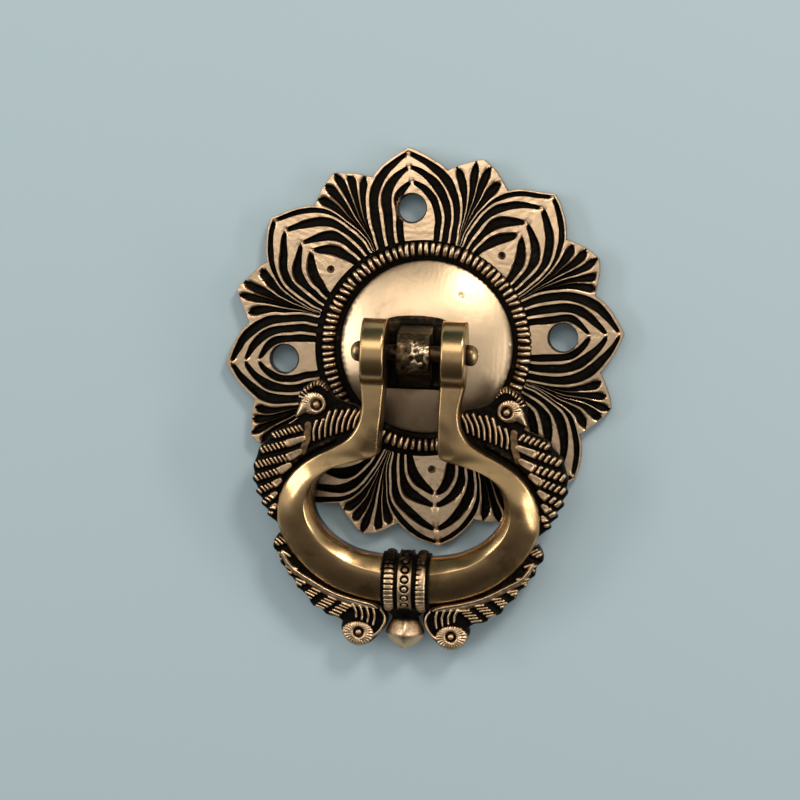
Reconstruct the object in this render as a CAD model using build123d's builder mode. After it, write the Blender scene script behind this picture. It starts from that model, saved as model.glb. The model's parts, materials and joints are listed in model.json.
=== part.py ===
from build123d import *
import math
import os

# Cast brass ring knocker on a lotus rosette. Millimetres, +Z up, +X to the right seen from the front.
# The door's surface is the plane Y = 0 and the knocker faces -Y. "Depth" is the distance from the door,
# which is -Y. The origin is the centre of the rosette's back face.

# Rosette
PETALS = 8
TURN = 6.5                  # the petals stand this many degrees off the hinge pin's square
SECTOR = 360 / PETALS
TIP_R = 51.1                # petal tips
FAN_R = 50.0                # blunt corners of the fans between the petals
VALLEY_R = 45.3             # notches between petals and fans
VALLEY_ANGLE = 12.3         # degrees from a petal's axis to its notch
FLANK_SWELL = 0.7           # how far a petal's flank bows out of the straight
EDGE_TAPER = 9              # moulding draft of the outer edge, degrees
EDGE_DEPTH = 3.3            # front surface at the petal tips
PETAL_DEPTH = 5.5           # front surface where the petals begin
PETAL_ROOT_R = 28.4
PETAL_UNDERLAP = 3.0        # petal outlines start this far inside the root, under the ribbed ring
PETAL_WIDEST_R = 34.5
SURFACE_MID_R = 40.0        # the plate's front surface is an arc through this radius
SURFACE_FALL = 0.75         # and it has fallen this much there
LAND_DEPTH = 4.5            # flat land that carries the ribbed ring and the dome
GROOVE_DEPTH = 1.3
# Outlines between which a petal is grooved: tip radius, half width at the root, greatest half width
SCREW_PETAL_OUTLINES = [(49.4, 7.8, 9.9), (47.3, 6.6, 8.6), (45.4, 5.6, 7.2), (41.7, 3.8, 4.9)]
PLAIN_PETAL_OUTLINES = [
    (50.0, 8.6, 10.6),
    (48.4, 7.6, 9.6),
    (46.9, 6.8, 8.4),
    (42.0, 5.4, 6.6),
    (40.6, 4.8, 5.6),
    (38.0, 4.4, 3.4),
]
FLUTE_TURNS = [-7.5, -2.5, 2.5, 7.5]    # flutes of a fan, degrees off its middle
FLUTE_ROOT_R = 37.0
FLUTE_END_R = 46.6
FLUTE_HALF_ANGLE = 1.3
SCREW_R = 3.6               # clearance holes for the door screws
SCREW_CIRCLE_R = 35.8
DIMPLE_R = 1.0
DIMPLE_CIRCLE_R = 30.9
BACK_HOLE_R = 19.0          # the plate is open behind the dome

# Ribbed ring and dome
RING_IN_R = 24.2
RING_OUT_R = 27.0
RING_DEPTH = 7.4
RIBS = 96
RIB_NOTCH = 0.6
DOME_R = 22.2
DOME_DEPTH = 10.0
DOME_SEAT_DEPTH = 6.4       # flat underside of the dome that the washer bears on
DOME_SEAT_R = 13.0

# Hinge: pin axis, post and its fastening behind the dome
PIN_X = -1.6
PIN_Z = -0.8
PIN_DEPTH = 19.4
PIN_R = 2.0
PIN_PLAY = 0.05
PIN_HEAD_R = 2.6
PIN_HEAD_LENGTH = 3.0
BLOCK_WIDTH = 16.0
BLOCK_TOP = 9.2
BLOCK_CROWN = 0.9
BLOCK_BOTTOM = -9.6
BLOCK_DEPTH = 10.7
POCKET_DEPTH = 7.6          # the block sits in a shallow pocket of the dome, down to this depth
LUG_WIDTH = 8.3
LUG_NOSE_R = 5.2
LUG_FOOT = -9.0             # the lug's lower slope leaves the block here
LUG_HEAD = 7.2              # and its upper slope here
SHANK_R = 2.5
SHANK_END = 1.7
SHANK_PLAY = 0.1
WASHER_R = 6.0
WASHER_HOLE_R = 2.75
WASHER_THICK = 1.0
NUT_FLATS = 8.0
NUT_THICK = 2.7

# Knocker casting, heights measured from the pin's axis
EAR_R = 8.3
EAR_INNER = 6.9
EAR_OUTER = 12.9
BOW_BOTTOM = -64.5
BOW_INSIDE = -52.3
BOW_FRONT_EDGE = 2.0        # rounding of the bow's long front edges
# Side profiles of the slabs that the cast birds are cut from, as depth and height
PEACOCK_SLAB = [(9.6, -7), (15.2, -7), (12.0, -47.2), (6.4, -47.2)]
SMALL_BIRD_SLAB = [(5.0, -45.2), (11.6, -45.2), (9.6, -77), (2.6, -77)]
COLLAR_Z = -58.3
COLLAR_DEPTH = 8.05
COLLAR_R = 8.0
BAND_INNER = 1.75           # the beaded band lies between -1.75 and 1.75, the outer bands outside it
BAND_OUTER = 6.1
BAND_GROOVE = 1.1           # width and depth of the groove beside the beaded band
BAND_CREST = 4.5            # where an outer band has the collar's full radius
BAND_FALL = 0.9             # how much it has fallen at its outer end
FINIAL_DEPTH = 7.4
FINIAL_R = 4.3
FINIAL_TOP = -63.5
FINIAL_BOTTOM = -76.0
FINIAL_NECK_R = 2.6
FINIAL_NECK_END = -67.2
FINIAL_WIDEST = -71.4
FINIAL_TIP_R = 1.1

# Planes: seen from the front, seen from the side (local x is depth), and radius against depth
FRONT = Plane.XZ
RADIAL = Plane(origin=(0, 0, 0), x_dir=(1, 0, 0), z_dir=(0, 0, -1))
KNOCKER_FRONT = Plane(origin=(PIN_X, 0, PIN_Z), x_dir=(1, 0, 0), z_dir=(0, -1, 0))
KNOCKER_SIDE = Plane(origin=(PIN_X, 0, PIN_Z), x_dir=(0, -1, 0), z_dir=(-1, 0, 0))
PIN_PLANE = KNOCKER_FRONT.offset(PIN_DEPTH)
PIN_AXIS = Axis(PIN_PLANE.origin, (1, 0, 0))
COLLAR_PLANE = Plane(
    origin=(PIN_X, -COLLAR_DEPTH, PIN_Z + COLLAR_Z), x_dir=(1, 0, 0), z_dir=(0, -1, 0)
)
COLLAR_AXIS = Axis(COLLAR_PLANE.origin, (1, 0, 0))
FINIAL_PLANE = KNOCKER_FRONT.offset(FINIAL_DEPTH)


def polar(radius, angle):
    return (radius * math.cos(math.radians(angle)), radius * math.sin(math.radians(angle)))


def bowed(start, end, swell):
    """Arc from start to end whose middle stands out from the rosette's centre by swell."""
    middle = Vector((start[0] + end[0]) / 2, (start[1] + end[1]) / 2)
    return ThreePointArc(start, middle + middle.normalized() * swell, end)


def petal(tip, root_half, widest_half):
    """Pointed petal outline along +X, cut square at its root."""
    root_r = PETAL_ROOT_R - PETAL_UNDERLAP
    with BuildSketch() as region:
        with BuildLine():
            Spline(
                (root_r, root_half),
                (PETAL_WIDEST_R, widest_half),
                (tip - 4.6, widest_half * 0.66),
                (tip, 0),
            )
            mirror(about=Plane.XZ)
            Line((root_r, root_half), (root_r, -root_half))
        make_face()
    return region.sketch


def grooved(outlines):
    """Grooves of one petal: between its first and second outline, its third and fourth, and so on."""
    with BuildSketch() as grooves:
        for index, outline in enumerate(outlines):
            add(petal(*outline), mode=Mode.SUBTRACT if index % 2 else Mode.ADD)
    return grooves.sketch


def sunk_front(drop):
    """Solid of revolution from the plate's front surface, sunk by drop, out to well above it."""
    rim_r = TIP_R + 2
    rim_depth = EDGE_DEPTH - 0.25 - drop
    top = PETAL_DEPTH + 3
    with BuildPart() as space:
        with BuildSketch(RADIAL):
            with BuildLine():
                ThreePointArc(
                    (PETAL_ROOT_R, PETAL_DEPTH - drop),
                    (SURFACE_MID_R, PETAL_DEPTH - SURFACE_FALL - drop),
                    (rim_r, rim_depth),
                )
                Polyline(
                    (rim_r, rim_depth),
                    (rim_r, top),
                    (PETAL_ROOT_R, top),
                    (PETAL_ROOT_R, PETAL_DEPTH - drop),
                )
            make_face()
        revolve(axis=Axis.Y)
    return space.part


# ---------------------------------------------------------------- rosette back plate
with BuildSketch() as rosette:
    with BuildLine():
        for k in range(PETALS):
            axis = TURN + SECTOR * k
            tip = polar(TIP_R, axis)
            notch_in = polar(VALLEY_R, axis + VALLEY_ANGLE)
            corner = polar(FAN_R, axis + SECTOR / 2)
            notch_out = polar(VALLEY_R, axis + SECTOR - VALLEY_ANGLE)
            bowed(tip, notch_in, FLANK_SWELL)
            bowed(notch_in, corner, FLANK_SWELL / 3)
            bowed(corner, notch_out, FLANK_SWELL / 3)
            bowed(notch_out, polar(TIP_R, axis + SECTOR), FLANK_SWELL)
    make_face()

# A petal that holds a screw has a flat leaf round the hole, then two rounded ridges. The other petals
# have a short leaf with a dimple, then a broad flat chevron and a thin ridge.
screw_petal = grooved(SCREW_PETAL_OUTLINES)
plain_petal = grooved(PLAIN_PETAL_OUTLINES)

# Grooves of the fan between two petals: tapered flutes that spread from its root
with BuildSketch() as fan:
    for turn in FLUTE_TURNS:
        with BuildLine():
            Polyline(
                polar(FLUTE_ROOT_R, turn / 4),
                polar(FLUTE_END_R, turn - FLUTE_HALF_ANGLE),
                polar(FLUTE_END_R, turn + FLUTE_HALF_ANGLE),
                close=True,
            )
        make_face()

SCREW_TURNS = [TURN, TURN + 90, TURN + 180]
PLAIN_TURNS = [TURN + SECTOR * k for k in (1, 3, 5, 6, 7)]
FAN_TURNS = [TURN + SECTOR * (k + 0.5) for k in range(PETALS)]


def turned(angles):
    return Locations([Location((0, 0, 0), (0, 0, angle)) for angle in angles])


with BuildPart() as groove_cutter:
    with BuildSketch(FRONT):
        with turned(SCREW_TURNS):
            add(screw_petal)
        with turned(PLAIN_TURNS):
            add(plain_petal)
        with turned(FAN_TURNS):
            add(fan.sketch)
    extrude(amount=PETAL_DEPTH + 2)
    add(sunk_front(GROOVE_DEPTH), mode=Mode.INTERSECT)

with BuildPart() as backplate:
    with BuildSketch(FRONT):
        add(rosette.sketch)
    extrude(amount=PETAL_DEPTH + 0.5, taper=EDGE_TAPER)
    add(sunk_front(0), mode=Mode.SUBTRACT)
    with BuildSketch(FRONT.offset(LAND_DEPTH)):
        Circle(PETAL_ROOT_R)
    extrude(amount=3, mode=Mode.SUBTRACT)
    with BuildSketch(FRONT):
        Circle(BACK_HOLE_R)
        with Locations([polar(SCREW_CIRCLE_R, angle) for angle in SCREW_TURNS]):
            Circle(SCREW_R)
    extrude(amount=PETAL_DEPTH + 1, mode=Mode.SUBTRACT)
    with BuildSketch(FRONT.offset(PETAL_DEPTH - GROOVE_DEPTH)):
        with Locations([polar(DIMPLE_CIRCLE_R, angle) for angle in PLAIN_TURNS]):
            Circle(DIMPLE_R)
    extrude(amount=3, mode=Mode.SUBTRACT)
    add(groove_cutter.part, mode=Mode.SUBTRACT)

# ---------------------------------------------------------------- ribbed ring
with BuildPart() as ribbed_ring:
    with BuildSketch(RADIAL):
        with BuildLine():
            Polyline(
                (RING_IN_R, RING_DEPTH - 1.2),
                (RING_IN_R, LAND_DEPTH),
                (RING_OUT_R, LAND_DEPTH),
                (RING_OUT_R, RING_DEPTH - 1.2),
            )
            ThreePointArc(
                (RING_OUT_R, RING_DEPTH - 1.2),
                ((RING_IN_R + RING_OUT_R) / 2, RING_DEPTH),
                (RING_IN_R, RING_DEPTH - 1.2),
            )
        make_face()
    revolve(axis=Axis.Y)
    with BuildSketch(FRONT.offset(RING_DEPTH - 0.9)):
        with PolarLocations((RING_IN_R + RING_OUT_R) / 2, RIBS, TURN):
            Rectangle(RING_OUT_R - RING_IN_R + 1, RIB_NOTCH)
    extrude(amount=2, mode=Mode.SUBTRACT)

# ---------------------------------------------------------------- dome
with BuildSketch() as block_plan:
    with BuildLine():
        side = BLOCK_WIDTH / 2
        shoulder = BLOCK_TOP - BLOCK_CROWN
        ThreePointArc((-side, shoulder), (0, BLOCK_TOP), (side, shoulder))
        Polyline((side, shoulder), (side, BLOCK_BOTTOM), (-side, BLOCK_BOTTOM), (-side, shoulder))
    make_face()

with BuildPart() as centre_boss:
    with BuildSketch(RADIAL):
        with BuildLine():
            ThreePointArc((DOME_R, LAND_DEPTH), (DOME_R * 0.707, DOME_DEPTH - 2.65), (0, DOME_DEPTH))
            Polyline(
                (0, DOME_DEPTH),
                (0, DOME_SEAT_DEPTH),
                (DOME_SEAT_R, DOME_SEAT_DEPTH),
                (BACK_HOLE_R, LAND_DEPTH),
                (DOME_R, LAND_DEPTH),
            )
        make_face()
    revolve(axis=Axis.Y)
    with BuildSketch(KNOCKER_FRONT.offset(POCKET_DEPTH)):
        add(block_plan.sketch)
    extrude(amount=BLOCK_DEPTH - POCKET_DEPTH, mode=Mode.SUBTRACT)
    with BuildSketch(KNOCKER_FRONT):
        Circle(SHANK_R + SHANK_PLAY)
    extrude(amount=DOME_DEPTH + 1, mode=Mode.SUBTRACT)

# ---------------------------------------------------------------- hinge post with its washer and nut
with BuildPart() as hinge_post:
    with BuildSketch(KNOCKER_FRONT.offset(POCKET_DEPTH)):
        add(block_plan.sketch)
    extrude(amount=BLOCK_DEPTH - POCKET_DEPTH)
    with BuildSketch(KNOCKER_SIDE):
        with BuildLine():
            Polyline(
                (BLOCK_DEPTH, LUG_FOOT),
                (BLOCK_DEPTH - 1, LUG_FOOT),
                (BLOCK_DEPTH - 1, LUG_HEAD),
                (BLOCK_DEPTH + 2.5, LUG_HEAD - 0.6),
                (PIN_DEPTH, LUG_NOSE_R),
            )
            ThreePointArc((PIN_DEPTH, LUG_NOSE_R), (PIN_DEPTH + LUG_NOSE_R, 0), (PIN_DEPTH, -LUG_NOSE_R))
            Line((PIN_DEPTH, -LUG_NOSE_R), (BLOCK_DEPTH, LUG_FOOT))
        make_face()
    extrude(amount=LUG_WIDTH / 2, both=True)
    with BuildSketch(KNOCKER_SIDE):
        with Locations((PIN_DEPTH, 0)):
            Circle(PIN_R + PIN_PLAY)
    extrude(amount=LUG_WIDTH, both=True, mode=Mode.SUBTRACT)
    with BuildSketch(KNOCKER_FRONT.offset(SHANK_END)):
        Circle(SHANK_R)
    extrude(amount=POCKET_DEPTH + 1 - SHANK_END)

with BuildPart() as post_washer:
    with BuildSketch(KNOCKER_FRONT.offset(DOME_SEAT_DEPTH - WASHER_THICK)):
        Circle(WASHER_R)
        Circle(WASHER_HOLE_R, mode=Mode.SUBTRACT)
    extrude(amount=WASHER_THICK)

with BuildPart() as post_nut:
    with BuildSketch(KNOCKER_FRONT.offset(DOME_SEAT_DEPTH - WASHER_THICK - NUT_THICK)):
        RegularPolygon(NUT_FLATS / 2, 6, major_radius=False)
        Circle(SHANK_R, mode=Mode.SUBTRACT)
    extrude(amount=NUT_THICK)

# ---------------------------------------------------------------- knocker: ears, arms and bow
# Right half of the front outline, from the ear down the outside and back up the inside of the bow
with BuildSketch() as half_bow:
    with BuildLine():
        Line((EAR_OUTER, EAR_R + 1), (EAR_OUTER, -7))
        Spline(
            (EAR_OUTER, -7),
            (12.1, -14.4),
            (15.2, -22.4),
            (23, -26.7),
            (30.3, -32.9),
            (33.3, -40.9),
            (31.8, -48.3),
            (26.5, -55.5),
            (18.8, -60.8),
        )
        ThreePointArc((18.8, -60.8), (9.7, -63.6), (0, BOW_BOTTOM))
        Line((0, BOW_BOTTOM), (0, BOW_INSIDE))
        ThreePointArc((0, BOW_INSIDE), (7, -51.9), (13.8, -50.6))
        Spline((13.8, -50.6), (21, -45.7), (24.3, -38.3), (21.3, -31.3), (14.5, -28), (7.5, -26.7))
        Polyline((7.5, -26.7), (EAR_INNER, -9), (EAR_INNER, EAR_R + 1), (EAR_OUTER, EAR_R + 1))
    make_face()

with BuildPart() as knocker_bow:
    with BuildSketch(KNOCKER_FRONT):
        add(half_bow.sketch)
        mirror(about=Plane.YZ)
    extrude(amount=PIN_DEPTH + EAR_R + 1)
    with BuildSketch(KNOCKER_SIDE):
        with Locations((PIN_DEPTH, 0)):
            Circle(EAR_R)
        with BuildLine():
            Spline((22.6, -6), (21.2, -16.4), (18.6, -29.8), (14.6, -48.3), (12.9, -65.7))
            Line((12.9, -65.7), (4.2, -65.7))
            Spline((4.2, -65.7), (4.9, -51.3), (7.6, -32.9), (10.6, -18.5), (14.0, -6))
            Line((14.0, -6), (22.6, -6))
        make_face()
    extrude(amount=EAR_OUTER * 4, both=True, mode=Mode.INTERSECT)
    long_edges = knocker_bow.edges().filter_by(GeomType.BSPLINE).filter_by(lambda edge: edge.length > 13)
    fillet(long_edges.filter_by(lambda edge: -(edge @ 0.5).Y > 12), BOW_FRONT_EDGE)
    with BuildSketch(KNOCKER_SIDE):
        with Locations((PIN_DEPTH, 0)):
            Circle(PIN_R)
    extrude(amount=EAR_OUTER + 1, both=True, mode=Mode.SUBTRACT)

# ---------------------------------------------------------------- hinge pin, peened at both ends
with BuildPart() as hinge_pin:
    with BuildSketch(PIN_PLANE):
        with BuildLine():
            Line((0, 0), (EAR_OUTER + PIN_HEAD_LENGTH, 0))
            ThreePointArc(
                (EAR_OUTER + PIN_HEAD_LENGTH, 0),
                (EAR_OUTER + PIN_HEAD_LENGTH * 0.78, PIN_HEAD_R * 0.72),
                (EAR_OUTER + PIN_HEAD_LENGTH * 0.3, PIN_HEAD_R),
            )
            Polyline(
                (EAR_OUTER + PIN_HEAD_LENGTH * 0.3, PIN_HEAD_R),
                (EAR_OUTER, PIN_HEAD_R),
                (EAR_OUTER, PIN_R),
                (0, PIN_R),
                (0, 0),
            )
        make_face()
        mirror(about=Plane.YZ)
    revolve(axis=PIN_AXIS)

# ---------------------------------------------------------------- cast ornament of the bow
# Each ornament is a front outline cut to a slab that leans with the bow, less the bow itself.
with BuildSketch() as peacock_outline:
    with BuildLine():
        Line((10, -19.5), (11.5, -14.6))
        Spline((11.5, -14.6), (16.5, -12.7), (20.4, -10.1))
        ThreePointArc((20.4, -10.1), (24.8, -8.4), (28.6, -11.7))
        Polyline((28.6, -11.7), (29.6, -19.3), (26.4, -17.9), (28.2, -19.9))
        Spline(
            (28.2, -19.9),
            (33.5, -21),
            (38.3, -24.4),
            (40.4, -32.4),
            (39.3, -38.4),
            (36.5, -42),
            (32.8, -45.5),
        )
        Polyline((32.8, -45.5), (28, -45.2), (28.5, -37), (23, -28.8), (10, -19.5))
    make_face()
    add(half_bow.sketch, mode=Mode.SUBTRACT)

with BuildSketch() as small_bird_outline:
    with BuildLine():
        Line((31, -45.2), (33.4, -48.9))
        Spline((33.4, -48.9), (31.6, -54.4), (25.6, -62.4), (17.5, -68.2))
        Line((17.5, -68.2), (16.2, -69.4))
        ThreePointArc((16.2, -69.4), (14.2, -75), (8.6, -73.5))
        ThreePointArc((8.6, -73.5), (5.7, -68.8), (6.6, -63.7))
        Polyline((6.6, -63.7), (6.6, -59.6), (31, -45.2))
    make_face()
    add(half_bow.sketch, mode=Mode.SUBTRACT)

with BuildPart() as collar_form:
    with BuildSketch(KNOCKER_SIDE):
        with Locations((COLLAR_DEPTH, COLLAR_Z)):
            Circle(COLLAR_R)
    extrude(amount=BAND_OUTER, both=True)


def ornament(outline, side, slab):
    """Cast ornament on one side of the bow; side is +1 on the right and -1 on the left."""
    with BuildPart() as piece:
        with BuildSketch(KNOCKER_FRONT):
            if side > 0:
                add(outline.sketch)
            else:
                add(mirror(outline.sketch, about=Plane.YZ, mode=Mode.PRIVATE))
        extrude(amount=PIN_DEPTH)
        with BuildSketch(KNOCKER_SIDE):
            Polygon(*slab, align=None)
        extrude(amount=EAR_OUTER * 4, both=True, mode=Mode.INTERSECT)
        add(collar_form.part, mode=Mode.SUBTRACT)
    return piece


peacock_right = ornament(peacock_outline, 1, PEACOCK_SLAB)
peacock_left = ornament(peacock_outline, -1, PEACOCK_SLAB)
small_bird_right = ornament(small_bird_outline, 1, SMALL_BIRD_SLAB)
small_bird_left = ornament(small_bird_outline, -1, SMALL_BIRD_SLAB)


def outer_band(side):
    """Rounded band of the collar beside the beaded one, with a groove between them."""
    groove_r = COLLAR_R - BAND_GROOVE
    with BuildPart() as band:
        with BuildSketch(COLLAR_PLANE):
            with BuildLine():
                Polyline(
                    (side * BAND_OUTER, COLLAR_R - BAND_FALL),
                    (side * BAND_OUTER, 0),
                    (side * BAND_INNER, 0),
                    (side * BAND_INNER, groove_r),
                    (side * (BAND_INNER + BAND_GROOVE), groove_r),
                )
                ThreePointArc(
                    (side * (BAND_INNER + BAND_GROOVE), groove_r),
                    (side * BAND_CREST, COLLAR_R),
                    (side * BAND_OUTER, COLLAR_R - BAND_FALL),
                )
            make_face()
        revolve(axis=COLLAR_AXIS)
        add(knocker_bow.part, mode=Mode.SUBTRACT)
    return band


collar_right_band = outer_band(1)
collar_left_band = outer_band(-1)

with BuildPart() as collar_beaded_band:
    with BuildSketch(COLLAR_PLANE):
        Rectangle(2 * BAND_INNER, COLLAR_R, align=(Align.CENTER, Align.MIN))
    revolve(axis=COLLAR_AXIS)
    add(knocker_bow.part, mode=Mode.SUBTRACT)

with BuildPart() as finial:
    with BuildSketch(FINIAL_PLANE):
        with BuildLine():
            Polyline(
                (FINIAL_TIP_R, FINIAL_BOTTOM),
                (0, FINIAL_BOTTOM),
                (0, FINIAL_TOP),
                (FINIAL_NECK_R, FINIAL_TOP),
                (FINIAL_NECK_R, FINIAL_NECK_END),
                (FINIAL_R, FINIAL_WIDEST),
            )
            ThreePointArc(
                (FINIAL_R, FINIAL_WIDEST),
                (FINIAL_R * 0.8, (FINIAL_WIDEST + FINIAL_BOTTOM) / 2 - 0.5),
                (FINIAL_TIP_R, FINIAL_BOTTOM),
            )
        make_face()
    revolve(axis=Axis(FINIAL_PLANE.origin, (0, 0, 1)))
    add(collar_form.part, mode=Mode.SUBTRACT)

os.makedirs("parts", exist_ok=True)
NODES = {
    "backplate": backplate,
    "ribbed_ring": ribbed_ring,
    "centre_boss": centre_boss,
    "hinge_post": hinge_post,
    "post_washer": post_washer,
    "post_nut": post_nut,
    "knocker_bow": knocker_bow,
    "peacock_left": peacock_left,
    "peacock_right": peacock_right,
    "small_bird_left": small_bird_left,
    "small_bird_right": small_bird_right,
    "collar_left_band": collar_left_band,
    "collar_beaded_band": collar_beaded_band,
    "collar_right_band": collar_right_band,
    "finial": finial,
    "hinge_pin": hinge_pin,
}
for name, piece in NODES.items():
    piece.part.label = name
    export_step(piece.part, f"parts/{name}.step")
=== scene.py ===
import json
import math
from collections import Counter

import bmesh
import bpy
import numpy as np
from mathutils import Matrix, Vector


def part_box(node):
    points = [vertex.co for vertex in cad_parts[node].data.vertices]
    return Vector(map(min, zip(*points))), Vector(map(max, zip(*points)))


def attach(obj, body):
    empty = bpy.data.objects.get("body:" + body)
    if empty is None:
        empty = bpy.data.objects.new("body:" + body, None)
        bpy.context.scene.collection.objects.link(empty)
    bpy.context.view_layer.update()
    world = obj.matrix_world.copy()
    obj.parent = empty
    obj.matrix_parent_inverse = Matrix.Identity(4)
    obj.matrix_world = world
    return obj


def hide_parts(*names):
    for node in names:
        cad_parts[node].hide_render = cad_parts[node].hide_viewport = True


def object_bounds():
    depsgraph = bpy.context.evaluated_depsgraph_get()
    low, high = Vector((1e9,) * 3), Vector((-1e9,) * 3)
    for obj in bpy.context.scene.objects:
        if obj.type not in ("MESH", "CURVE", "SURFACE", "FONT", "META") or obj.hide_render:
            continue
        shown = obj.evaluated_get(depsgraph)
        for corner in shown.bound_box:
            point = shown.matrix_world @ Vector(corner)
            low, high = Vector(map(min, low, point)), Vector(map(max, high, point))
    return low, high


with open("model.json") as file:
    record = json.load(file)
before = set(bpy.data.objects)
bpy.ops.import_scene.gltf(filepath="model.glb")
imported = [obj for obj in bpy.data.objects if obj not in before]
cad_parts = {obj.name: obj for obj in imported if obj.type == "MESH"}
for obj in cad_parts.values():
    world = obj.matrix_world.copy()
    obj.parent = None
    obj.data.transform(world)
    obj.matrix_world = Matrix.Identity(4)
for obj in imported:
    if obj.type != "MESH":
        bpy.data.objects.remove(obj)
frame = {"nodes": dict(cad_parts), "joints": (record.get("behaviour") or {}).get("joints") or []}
cad_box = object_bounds()

# Looks of a cast brass ring knocker. Shapes are worked out in millimetres as (x, depth, z), where depth is
# the distance from the door, -Y. Knocker shapes are relative to the hinge pin's axis, as in its drawing.
MM = 0.001
PIN_X, PIN_Y, PIN_Z = (value / MM for value in frame["joints"][0]["pos_m"])
PIN_DEPTH = -PIN_Y
PIN_PLACE = np.array([PIN_X, 0, PIN_Z])


def size_of(node):
    """Lowest and highest corner of a CAD node in millimetres, as (x, depth, z)."""
    low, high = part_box(node)
    return np.array([low.x, -high.y, low.z]) / MM, np.array([high.x, -low.y, high.z]) / MM


TIP_R = 51.1                # petal tips, from the rosette's middle
NOTCH_R, NOTCH_ANGLE = 45.3, 12.3
FAN_R = 50.0
TURN = 6.5                  # degrees from +X to the first petal
ROOT_R = 27.5
LAND_DEPTH = 4.5            # floor under the ring and the dome
SCREW_PETALS = (0, 2, 4)
# Distance from the middle, outline of the cutter, its steps, and how far the bright rim reaches
SCREW_HOLE = (35.8, [(0, -1), (3.6, -1), (3.6, 4.3), (4.1, 5.4), (4.1, 8), (0, 8)], 56, 4.2)
DIMPLE = (30.9, [(0, 4.5), (0.9, 4.8), (1.05, 5.6), (1.05, 8), (0, 8)], 24, 1.15)


# ---------------- number helpers
def smooth(x, low=0.0, high=1.0):
    """0 below low, 1 above high, and an S-curve between them."""
    t = np.clip((np.asarray(x, float) - low) / (high - low), 0, 1)
    return t * t * (3 - 2 * t)


def relief(points, size, seed):
    """Smooth random bumps about `size` millimetres across, mostly between -1 and 1."""
    rng, waves = np.random.default_rng(seed), 14
    directions = rng.normal(size=(waves, 3))
    directions /= np.linalg.norm(directions, axis=1)[:, None]
    lengths = 2 * size * rng.uniform(0.7, 1.6, waves)
    phases = rng.uniform(0, 2 * math.pi, waves)
    angles = points @ (directions / lengths[:, None]).T * 2 * math.pi + phases
    return np.sin(angles).sum(-1) * math.sqrt(2 / waves) / 1.6


def catmull(points, steps):
    """Smooth curve through the points, with `steps` samples a span."""
    p = np.asarray(points, float)
    p = np.vstack([2 * p[0] - p[1], p, 2 * p[-1] - p[-2]])
    t = np.linspace(0, 1, steps, endpoint=False)[:, None]
    spans = [
        0.5 * (2 * b + (c - a) * t + (2 * a - 5 * b + 4 * c - d) * t**2 + (3 * b - a - 3 * c + d) * t**3)
        for a, b, c, d in zip(p, p[1:], p[2:], p[3:])
    ]
    return np.vstack([*spans, p[-2:-1]])


def along(x, knots, values):
    """Smooth curve of values over increasing knots."""
    fine = catmull(np.column_stack([knots, values]), 24)
    return np.interp(x, fine[:, 0], fine[:, 1])


def grid_faces(rows, columns, start=0, wrap=False):
    """Quads of a grid of points stored row by row; wrap closes each row on itself."""
    r, c = np.meshgrid(np.arange(rows - 1), np.arange(columns if wrap else columns - 1), indexing="ij")
    a = start + r * columns + c
    b = start + r * columns + (c + 1) % columns
    return np.stack([a, b, b + columns, a + columns], -1).reshape(-1, 4)


def weld(points, faces, wear_and_shade):
    """Joins points that coincide and drops the faces that this leaves without area."""
    keys = np.round(points * 2e3).astype(np.int64)
    _, first, index = np.unique(keys, axis=0, return_index=True, return_inverse=True)
    faces = index.reshape(-1)[np.asarray(faces)]
    loops = []
    for face in faces.tolist():
        loop = [v for i, v in enumerate(face) if v != face[i - 1]]
        if len(set(loop)) > 2 and len(set(loop)) == len(loop):
            loops.append(loop)
    return points[first], loops, wear_and_shade[first]


def rim_loops(loops):
    """Open edges of a surface, as pairs of indices that run round its borders."""
    edges = [(loop[i - 1], v) for loop in loops for i, v in enumerate(loop)]
    count = Counter((min(edge), max(edge)) for edge in edges)
    return [edge for edge in edges if count[(min(edge), max(edge))] == 1]


# ---------------- mesh helpers
def add_object(name, data):
    obj = bpy.data.objects.new(name, data)
    bpy.context.scene.collection.objects.link(obj)
    return obj


def new_mesh(name, points, faces, sharp, wear_and_shade=None):
    """Mesh from millimetres, with outward normals, smooth up to `sharp` degrees between faces."""
    points = np.asarray(points, float)
    mesh = bpy.data.meshes.new(name)
    metres = np.column_stack([points[:, 0], -points[:, 1], points[:, 2]]) * MM
    mesh.from_pydata(metres.tolist(), [], [list(face) for face in faces])
    if wear_and_shade is not None:
        attribute = mesh.attributes.new("wear_and_shade", "FLOAT", "POINT")
        attribute.data.foreach_set("value", np.clip(wear_and_shade, 0, 1).astype(np.float32))
    shape = bmesh.new()
    shape.from_mesh(mesh)
    bmesh.ops.remove_doubles(shape, verts=shape.verts, dist=2e-7)
    bmesh.ops.recalc_face_normals(shape, faces=shape.faces)
    shape.to_mesh(mesh)
    shape.free()
    smooth_mesh(mesh, sharp)
    return mesh


def smooth_mesh(mesh, sharp):
    mesh.shade_smooth()
    mesh.set_sharp_from_angle(angle=math.radians(sharp))


def applied(obj):
    """New mesh of an object with its modifiers applied."""
    bpy.context.view_layer.update()
    return bpy.data.meshes.new_from_object(obj.evaluated_get(bpy.context.evaluated_depsgraph_get()))


def vectors_of(mesh, kind):
    """The "co" or "normal" of every vertex, turned to (x, depth, z)."""
    values = np.zeros(len(mesh.vertices) * 3, np.float32)
    mesh.vertices.foreach_get(kind, values)
    return values.reshape(-1, 3).astype(float) * (1, -1, 1)


def piece(name, points, faces, wear_and_shade, material, body, slot, node, sharp=50.0):
    """A closed mesh in the row frame, riding on its body in place of its CAD node."""
    mesh = new_mesh(name, points, faces, sharp, wear_and_shade)
    mesh.materials.append(material)
    obj = add_object(name, mesh)
    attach(obj, body)
    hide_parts(node)
    return obj


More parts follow.
